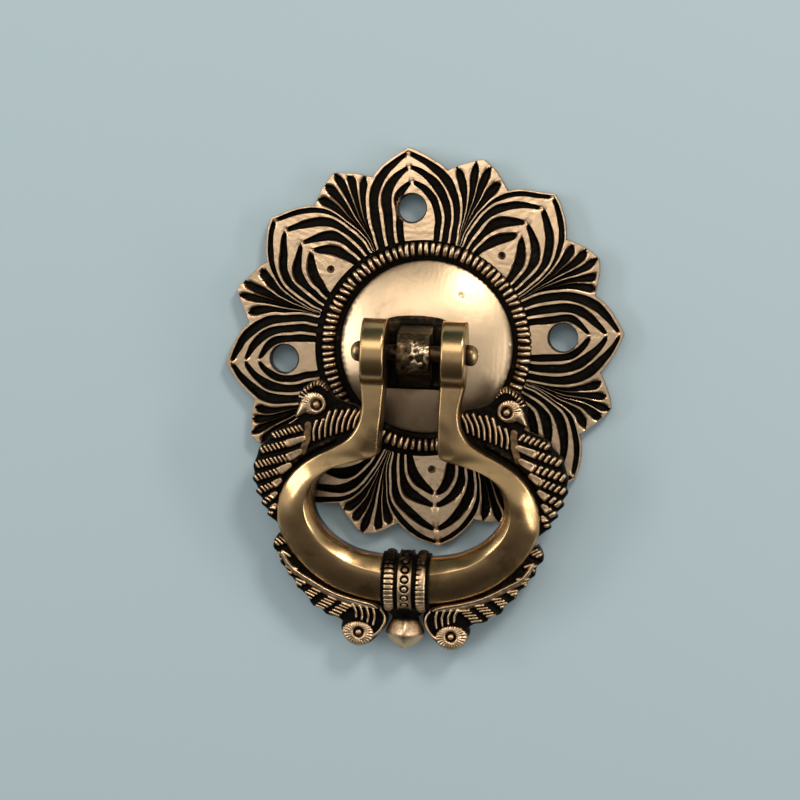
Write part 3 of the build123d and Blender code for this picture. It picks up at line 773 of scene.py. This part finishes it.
def band_mesh(profile, steps, lift, worn_from, worn_to):
    """A band round the ring; it is rubbed brighter the further it stands from the band's axis, and is made
    darker towards its top.
    """
    points, faces = lathe(profile, steps, "x", lift)
    r = np.hypot(points[:, 1], points[:, 2])
    wear_and_shade = 0.08 + 0.9 * smooth(r, COLLAR_R - worn_from, COLLAR_R - worn_to)
    wear_and_shade *= 1 - 0.75 * smooth(points[:, 2], 1.5, 5.0)
    points = points + COLLAR_PLACE
    points[:, 1] = np.maximum(points[:, 1], BOARD_GAP)
    return points, faces, wear_and_shade


def beaded_band():
    width = np.linspace(-1.75, 1.75, 45)
    profile = [(4.0, -1.75)] + [(COLLAR_R - 0.25, x) for x in width] + [(4.0, 1.75)]

    def lift(radius, place, turn):
        rim = smooth(np.abs(place), 1.35, 1.55) * (1 - smooth(np.abs(place), 1.66, 1.76))
        distance = np.hypot(slots(turn, BEADS)[1] * 2 * math.pi * COLLAR_R / BEADS, place)
        ring = -0.42 * np.exp(-(((distance - 0.92) / 0.22) ** 2))
        dot = 0.12 * (1 - smooth(distance, 0.3, 0.75))
        return radius + (radius > 5) * (0.22 * rim + ring + dot), place

    return band_mesh(profile, BEADS * 30, lift, 0.55, 0.22)


def outer_band(side, notch):
    """Notched band beside the beads; `notch` is how deep the notches run on its lower half."""
    crest = np.linspace(0, math.pi, 26)
    profile = [(4.0, 1.75), (6.9, 1.78), (6.9, 2.6)]
    profile += [(6.95 + 1.05 * math.sin(a) ** 0.75, 4.05 - 1.35 * math.cos(a)) for a in crest]
    profile += [(6.9, 5.5), (7.25, 5.62), (7.3, 5.85), (7.1, 6.1), (4.0, 6.1)]
    tall = np.random.default_rng(71 + side).uniform(0.7, 1.1, RIBS_ROUND)

    def lift(radius, place, turn):
        number, phase = slots(turn, RIBS_ROUND)
        valley = smooth(np.abs(phase) * 2, 0.55, 1.0) * tall[number]
        reach = smooth(-place, -4.6, -2.9)
        lower = smooth(-np.sin(turn), -0.25, 0.75)
        amount = np.maximum(reach * (radius > 7), notch * lower * (radius > 7.2))
        return radius - 0.5 * valley * amount, place

    return band_mesh([(r, side * x) for r, x in profile], RIBS_ROUND * 12, lift, 0.75, 0.15)


piece("collar_beads", *beaded_band(), *CAST, "collar_beaded_band")
for side, name, notch in ((1, "right", 0.6), (-1, "left", 0.95)):
    piece(f"collar_band_{name}", *outer_band(side, notch), *CAST, f"collar_{name}_band")


def finial():
    """The faceted bud under the collar."""
    outline = [(4.7, -63.6), (4.8, -65.4), (4.3, -66.6), (3.4, -67.5), (3.5, -68.4), (4.1, -69.6)]
    outline += [(4.6, -70.8), (4.75, -71.7), (4.5, -72.5), (3.9, -73.4), (3.1, -74.3), (2.1, -75.1)]
    outline += [(1.1, -75.7), (0, -76)]
    fine = catmull(outline, 5)
    profile = [(0.0, -63.6)] + [(max(r, 0.0), z) for r, z in fine]

    def lift(radius, place, turn):
        corner = (np.abs(np.cos(turn)) ** 1.35 + np.abs(np.sin(turn)) ** 1.35) ** (-1 / 1.35)
        return radius * (1 + smooth(-place, 67.2, 69.5) * (corner * 1.04 - 1)), place

    points, faces = lathe(profile, 96, "z", lift)
    wear_and_shade = 0.05 + 0.75 * smooth(-points[:, 2], 67.6, 69.6)
    return weld(points + np.array([PIN_X, 7.4, PIN_Z]), faces[:-96], wear_and_shade)


piece("finial_drop", *finial(), *CAST, "finial", 35)


# ---------------- cast birds
def polygon_distance(points, outline):
    """Signed distance to a closed outline, negative inside, and the nearest point on it."""
    start, end = outline, np.roll(outline, -1, 0)
    best = np.full(len(points), np.inf)
    nearest = np.zeros_like(points)
    inside = np.zeros(len(points), bool)
    for a, b in zip(start, end):
        ab = b - a
        t = np.clip(((points - a) @ ab) / max(ab @ ab, 1e-12), 0, 1)
        spot = a + t[:, None] * ab
        distance = np.hypot(*(points - spot).T)
        closer = distance < best
        best[closer] = distance[closer]
        nearest[closer] = spot[closer]
        crosses = (a[1] > points[:, 1]) != (b[1] > points[:, 1])
        if abs(b[1] - a[1]) > 1e-12:
            cut = (b[0] - a[0]) * (points[:, 1] - a[1]) / (b[1] - a[1]) + a[0]
            inside ^= crosses & (points[:, 0] < cut)
    return np.where(inside, -best, best), nearest


def ridge(points, path, width, height):
    """Rounded ridge along a path of (x, z) points; width and height may taper from start to end."""
    path = np.asarray(path, float)
    lengths = np.concatenate([[0], np.cumsum(np.hypot(*np.diff(path, axis=0).T))])
    rise = np.zeros(len(points))
    (width0, width1), (height0, height1) = (v if np.ndim(v) else (v, v) for v in (width, height))
    for a, b, start, end in zip(path, path[1:], lengths, lengths[1:]):
        ab = b - a
        t = np.clip(((points - a) @ ab) / (ab @ ab), 0, 1)
        distance = np.hypot(*(points - a - t[:, None] * ab).T)
        share = (start + t * (end - start)) / lengths[-1]
        w = width0 + (width1 - width0) * share
        h = height0 + (height1 - height0) * share
        rise = np.maximum(rise, h * np.sqrt(np.clip(1 - (distance / w) ** 2, 0, 1)))
    return rise


def feathers(points, start, end, count, reach, height, seed, slant):
    """Row of short ribs across a line from start to end, like the barbs of a feather."""
    rng = np.random.default_rng(seed)
    start = np.array(start, float)
    line = np.array(end, float) - start
    unit = line / np.linalg.norm(line)
    lean = np.array([-unit[1], unit[0]]) + unit * slant
    lean /= np.linalg.norm(lean)
    pitch = np.linalg.norm(line) / count
    ribs = []
    for i in range(count):
        middle = start + line * (i + 0.5) / count + rng.uniform(-0.06, 0.06, 2)
        half = lean * reach * rng.uniform(0.85, 1.1)
        tall = height * rng.uniform(0.85, 1.05)
        ribs.append(ridge(points, [middle - half, middle + half], pitch * 0.47, tall))
    return np.max(ribs, axis=0)


def barb(points, top, low, bend, width, height):
    """Curved ridge from top to low, bent sideways in the middle."""
    middle = ((top[0] + low[0]) / 2 + bend, (top[1] + low[1]) / 2)
    return ridge(points, catmull([top, middle, low], 4), width, height)


def plaque(outline, relief_of, slab, cell, seed, side):
    """Closed casting from a front outline: relief on its front, rounded walls and a plain back."""
    low, high = outline.min(0) - cell, outline.max(0) + cell
    xs, zs = np.arange(low[0], high[0], cell), np.arange(low[1], high[1], cell)
    nodes = np.column_stack([axis.ravel() for axis in np.meshgrid(xs, zs)])
    faces = grid_faces(len(zs), len(xs))
    inside, _ = polygon_distance(nodes[faces].mean(1), outline)
    faces = faces[inside < 0]
    used, index = np.unique(faces, return_inverse=True)
    nodes, faces = nodes[used], index.reshape(faces.shape)
    open_edges = rim_loops(faces.tolist())
    border = np.array(sorted({v for edge in open_edges for v in edge}))
    nodes[border] = polygon_distance(nodes[border], outline)[1]
    distance, _ = polygon_distance(nodes, outline)
    rise = relief_of(nodes, side)
    x, z = nodes.T
    (z_top, front_top, back_top), (z_low, front_low, back_low) = slab
    share = (z - z_low) / (z_top - z_low)
    rounding = 1.1 * (1 - np.sqrt(np.clip(1 - (1 - np.clip(-distance, 0, 0.9) / 0.9) ** 2, 0, 1)))
    front = front_low + (front_top - front_low) * share + rise - rounding
    front += 0.06 * relief(np.column_stack([x, 0 * x, z]), 0.9, seed)
    back = back_low + (back_top - back_low) * share + 0.5 * rounding
    front = np.maximum(front, back + 0.8)
    top, under, middle = (np.column_stack([x, depth, z]) for depth in (front, back, 0.5 * front + 0.5 * back))
    n = len(nodes)
    position = {v: 2 * n + i for i, v in enumerate(border)}
    loops = faces.tolist() + (faces[:, ::-1] + n).tolist()
    for a, b in open_edges:
        loops.append([b, a, position[a], position[b]])
        loops.append([position[b], position[a], a + n, b + n])
    points = np.vstack([top, under, middle[border]])
    wear_top = 0.06 + 0.94 * smooth(rise - 0.5 * rounding, 0.35, 1.35)
    wear_and_shade = np.concatenate([wear_top, np.full(n, 0.3), np.full(len(border), 0.22)])
    return points * (side, 1, 1) + PIN_PLACE, loops, wear_and_shade


BOW_OUTLINE = catmull([(row[2], row[3]) for row in BOW_SECTIONS], 6)


def bow_edge(z_from, z_to, inset):
    """Stretch of the bow's outer outline between two heights, moved inwards under the bow."""
    keep = BOW_OUTLINE[(BOW_OUTLINE[:, 1] <= z_from) & (BOW_OUTLINE[:, 1] >= z_to)]
    step = np.gradient(keep, axis=0)
    step /= np.hypot(*step.T)[:, None]
    return keep + inset * np.column_stack([step[:, 1], -step[:, 0]])


WING_ROWS = [
    # start of the smooth part, start of the barbs, end, half height
    ((27, -19.9), (27.3, -20), (35, -22.4), 1.15),
    ((27.2, -22.9), (30.9, -24.2), (38, -26.3), 1.25),
    ((28, -26.3), (30.4, -27.6), (39.2, -30.1), 1.3),
    ((30.6, -29.9), (32.6, -31.2), (39.3, -33.5), 1.25),
    ((32.9, -33.9), (33.9, -34.7), (38.4, -36.8), 1.15),
    ((33.9, -37.3), (34.5, -37.8), (37, -39.8), 1),
    ((33.9, -40.2), (34.1, -40.5), (35.4, -42.6), 0.9),
]
BEAD_PITCH = {1: 1.42, -1: 1.0}          # the left peacock is cut finer than the right one


def peacock_outline():
    inner = bow_edge(-18.5, -45.5, 1.4)[::-1]
    body = catmull([(12.2, -15.2), (14.6, -13.7), (17.6, -13.0), (20.2, -11.6), (21.6, -9.4)], 8)
    crest = catmull([(22.0, -8.6), (23.7, -7.8), (25.6, -8.6), (27.3, -9.9), (28.5, -11.5), (29.1, -13.4)], 8)
    beak = np.array([(28.6, -14.6), (29.1, -16.2), (29.5, -17.9), (28.6, -17.7), (28.3, -18.6)])
    tips = []
    for _, _, end, half in WING_ROWS:
        tips += [(end[0] + 0.35, end[1] + half * 0.7), (end[0] + 0.75, end[1] - half * 0.25)]
    wing = catmull([(29.4, -18.9), (32.4, -19.9)] + tips + [(33.9, -44.6), (32.2, -46.2)], 5)
    return np.vstack([inner, body, crest, beak, wing])


def round_head(points, centre, reach, eye_at, eye_size):
    """Low domed head with fine radial lines and a ring-and-dot eye."""
    offset = (points - np.array(centre)) / np.array(reach)
    dome_part = np.sqrt(np.clip(1 - (offset**2).sum(1), 0, 1))
    turn = np.arctan2(points[:, 1] - eye_at[1], points[:, 0] - eye_at[0])
    distance = np.hypot(*(points - np.array(eye_at)).T)
    lines = 0.13 * np.cos(26 * turn) * smooth(distance, 1.3 * eye_size, 2.0 * eye_size)
    rise = 1.55 * dome_part**0.45 + lines * (dome_part > 0.25)
    ring = np.exp(-(((distance - eye_size) / (0.34 * eye_size)) ** 2))
    return np.where(dome_part > 0, rise - 0.85 * ring + 0.05 * (distance < eye_size), 0)


def peacock_relief(points, side):
    """Height of a peacock's head, crest, neck barbs and wing rows over its slab."""
    head = np.array([24.7, -13.8])
    ridges = [
        ridge(points, [(27.0, -14.9), (28.4, -16.4), (29.3, -17.7)], (1.8, 0.3), (1.55, 1.0)),
        round_head(points, head, (3.3, 3.0), (23.9, -14.1), 1.15),
    ]
    crest = [(20.9, -9.9), (22.2, -8.9), (23.7, -8.5), (25.4, -9.2), (26.9, -10.5), (28.0, -12.2)]
    for i, middle in enumerate(catmull(crest, 2)):
        out = (middle - head) / np.linalg.norm(middle - head)
        bead = [middle - out * 0.55, middle + out * 0.45]
        ridges.append(ridge(points, bead, 0.4 if i % 2 else 0.46, 1.45 - 0.15 * (i % 2)))
    for i in range(8):
        top = (12.4 + 1.62 * i, -14.8 - 0.14 * i - 2.2 * (i > 5) - 0.3 * (i % 2))
        low = (14.4 + 1.42 * i, -19.6 - 0.52 * i)
        ridges.append(barb(points, top, low, 0.4, (0.62, 0.5), (1.35, 1.05)))
    ridges.append(np.minimum(0.8, ridge(points, [(25.9, -19.3), (26.2, -23.2), (27.2, -26.2)], 1.0, 1.7)))
    ridges.append(ridge(points, bow_edge(-24.2, -42.5, -1.9)[::3], (1.0, 0.7), (0.62, 0.55)))
    for i, (first, barbs, end, half) in enumerate(WING_ROWS):
        if i:
            ridges.append(np.minimum(1.05, ridge(points, [first, barbs], (half * 0.75, half), 1.6)))
        ridges.append(np.minimum(0.42, ridge(points, [barbs, end], half, 1.2)))
        count = max(2, round(math.dist(barbs, end) / BEAD_PITCH[side]))
        ridges.append(feathers(points, barbs, end, count, half * 0.55, 1.45, 81 + i, 0.35))
    return np.max(ridges, axis=0)


def small_bird_outline():
    inner = bow_edge(-46.5, -63.9, 1.2)[::-1]
    collar_side = np.array([(5.6, -63.9), (4.9, -66.0)])
    rim = catmull([(4.7, -66.6), (4.4, -68.2), (5.0, -70.4), (6.6, -72.4)], 6)
    head = [(7.2, -73.2), (9.2, -75.0), (12.2, -75.8), (15.0, -74.2), (16.4, -71.6), (16.2, -69.6)]
    tufts = [(17.6, -68.6), (20.6, -68.0), (21.6, -66.6), (24.3, -65.6), (25.3, -63.4), (27.8, -61.6)]
    tufts += [(28.6, -59.6), (30.5, -58.2), (30.9, -56.6), (32.5, -55.4), (32.9, -53.0), (34.4, -51.6)]
    tufts += [(34.3, -49.6), (33.2, -47.6)]
    return np.vstack([inner, collar_side, rim, catmull(head, 6), catmull(tufts, 5)])


TUFT_ROWS = [
    ((31.2, -49.0), (34.2, -49.9)), ((30.4, -52.4), (33.6, -53.8)), ((28.6, -55.8), (31.8, -57.6)),
    ((25.6, -58.6), (29.4, -61.0)), ((21.8, -60.9), (26.6, -64.2)), ((17.6, -62.8), (23.0, -66.8)),
    ((14.6, -64.8), (18.6, -67.9)),
]
SPINE = [(32, -52.6), (29.4, -56.2), (24.8, -59.1), (19.6, -61.9), (14.4, -63.6), (8.7, -64.9), (6.2, -66.3)]
THROAT = [(6.2, -66.0), (5.3, -67.4), (5.3, -69.4), (6.6, -71.6), (8.2, -72.8)]


def small_bird_relief(points, side):
    """Height of a small bird's tufts, spine, fan of neck barbs and head over its slab."""
    ridges = []
    for i, (start, end) in enumerate(TUFT_ROWS):
        ridges.append(np.minimum(0.4, ridge(points, [start, end], 1.5, 1.2)))
        count = max(3, round(math.dist(start, end)))
        ridges.append(feathers(points, start, end, count, 1.15, 1.25, 91 + i, 0.8 + 0.15 * side))
    spine = catmull(SPINE, 4)
    ridges.append(ridge(points, spine - (0.3, 0.5), (0.8, 1.5), (1.2, 1.35)))
    ridges.append(ridge(points, spine + (0.0, 0.15), (0.4, 0.6), (1.45, 1.65)))
    rise = np.max(ridges, axis=0)
    fan = (points[:, 0] < 14.0) & (points[:, 1] < -65.6)
    ridges = [np.where(fan, np.minimum(rise, 0.25), rise)]
    for i in range(4):
        top, low = (13.4 - 1.75 * i, -65.0 - 0.22 * i), (12.5 - 1.45 * i, -68.2 - 0.6 * i)
        ridges.append(barb(points, top, low, -0.35, (0.55, 0.42), (1.5, 1.2)))
    ridges.append(ridge(points, catmull(THROAT, 4), 0.5, 1.35))
    ridges.append(round_head(points, (12.1, -72.4), (4.3, 3.3), (11.8, -72.0), 1.05))
    return np.max(ridges, axis=0)


# Highest and lowest z of each slab, with its front and back depth there
PEACOCK_SLAB = ((-7.0, 13.4, 9.6), (-47.2, 10.4, 6.4))
SMALL_BIRD_SLAB = ((-45.2, 10.0, 5.0), (-77.0, 7.9, 2.6))

for side, name in ((1, "right"), (-1, "left")):
    for kind, outline, relief_of, slab, cell, seed in (
        ("peacock", peacock_outline(), peacock_relief, PEACOCK_SLAB, 0.2, 100),
        ("small_bird", small_bird_outline(), small_bird_relief, SMALL_BIRD_SLAB, 0.18, 110),
    ):
        bird = plaque(outline, relief_of, slab, cell, seed + side, side)
        piece(f"{kind}_relief_{name}", *bird, *CAST, f"{kind}_{name}", 70)

for node in ("post_washer", "post_nut"):
    materials = frame["nodes"][node].data.materials
    materials.clear()
    materials.append(STEEL)

# ---------------- board, light and camera
centre = (cad_box[0] + cad_box[1]) / 2


def board_material():
    """Pale matt paint. The board isn't there from behind and casts no shadow, so the plate's back shows."""
    material, tree = blank_material("pale_board")
    paint = add_node(tree, "BsdfPrincipled", {"Base Color": (0.44, 0.525, 0.545, 1), "Roughness": 0.75})
    clear = add_node(tree, "BsdfTransparent")
    behind = add_node(tree, "NewGeometry").outputs["Backfacing"]
    shadow = add_node(tree, "LightPath").outputs["Is Shadow Ray"]
    either = add_node(tree, "Math", {0: behind, 1: shadow}, operation="MAXIMUM").outputs[0]
    mix = add_node(tree, "MixShader", {0: either, 1: paint.outputs["BSDF"], 2: clear.outputs["BSDF"]})
    add_node(tree, "OutputMaterial", {"Surface": mix.outputs["Shader"]})
    return material


def board():
    half, gap = 1.6, 0.0004
    mesh = bpy.data.meshes.new("board")
    corners = [(-half, gap, -half), (half, gap, -half), (half, gap, half), (-half, gap, half)]
    mesh.from_pydata(corners, [], [(0, 1, 2, 3)])
    mesh.materials.append(board_material())
    obj = add_object("board", mesh)


def softbox(name, place, size, watts, colour):
    """Rectangular light at a place in metres from the object's middle, which it faces."""
    light = bpy.data.lights.new(name, "AREA")
    light.shape = "RECTANGLE"
    light.size, light.size_y = size
    light.energy = watts
    light.color = colour
    obj = add_object(name, light)
    obj.location = centre + Vector(place)
    obj.rotation_euler = (-Vector(place)).to_track_quat("-Z", "Y").to_euler()


def studio_world():
    """Soft room light: pale in front and above, dim below and straight overhead."""
    world = bpy.data.worlds.new("studio")
    world.use_nodes = True
    tree = world.node_tree
    place = add_node(tree, "TexCoord").outputs["Generated"]
    height = add_node(tree, "SeparateXYZ", {"Vector": place}).outputs["Z"]
    share = add_node(tree, "MapRange", {"Value": height, "From Min": -1}).outputs["Result"]
    colours = [(0.04,) * 3, (0.11,) * 3, (0.61, 0.66, 0.68), (0.57, 0.62, 0.64), (0.03, 0.075, 0.07)]
    background = tree.nodes["Background"]
    sky = colour_ramp(tree, share, (0.0, 0.22, 0.42, 0.68, 0.88), colours)
    tree.links.new(sky, background.inputs["Color"])
    background.inputs["Strength"].default_value = 0.85
    bpy.context.scene.world = world


def add_camera():
    """Camera slightly to the right of and above the knocker, rolled a little, as it was photographed."""
    azimuth, elevation, roll = (math.radians(angle) for angle in (5.6, 3.5, 2.05))
    level = math.cos(elevation)
    back = Vector((math.sin(azimuth) * level, -math.cos(azimuth) * level, math.sin(elevation)))
    right = Vector((math.cos(azimuth), math.sin(azimuth), 0))
    up = back.cross(right)
    across = math.cos(roll) * right + math.sin(roll) * up
    upward = -math.sin(roll) * right + math.cos(roll) * up
    data = bpy.data.cameras.new("camera")
    data.sensor_width = 36
    data.lens = 88.8
    camera = add_object("camera", data)
    target = centre + Vector((-0.005, 0.0058, -0.0002))
    turn = Matrix((across, upward, back)).transposed()
    camera.matrix_world = Matrix.Translation(target + back * 0.5) @ turn.to_4x4()
    bpy.context.scene.camera = camera


board()
softbox("key", (0.36, -0.62, 0.62), (0.2, 0.2), 3.4, (1.0, 0.97, 0.92))
softbox("top_window", (-0.22, -0.95, 0.5), (0.9, 0.45), 2.5, (1.0, 0.98, 0.95))
softbox("left_window", (-0.85, -0.5, 0.1), (0.2, 0.6), 2.8, (0.93, 0.97, 1.0))
softbox("right_window", (0.8, -0.38, -0.1), (0.09, 0.6), 1.9, (0.95, 0.98, 1.0))
softbox("rear_fill", (0.1, 0.8, 0.3), (0.6, 0.6), 3.6, (1, 1, 1))
studio_world()
bpy.context.scene.view_settings.view_transform = "Standard"
add_camera()
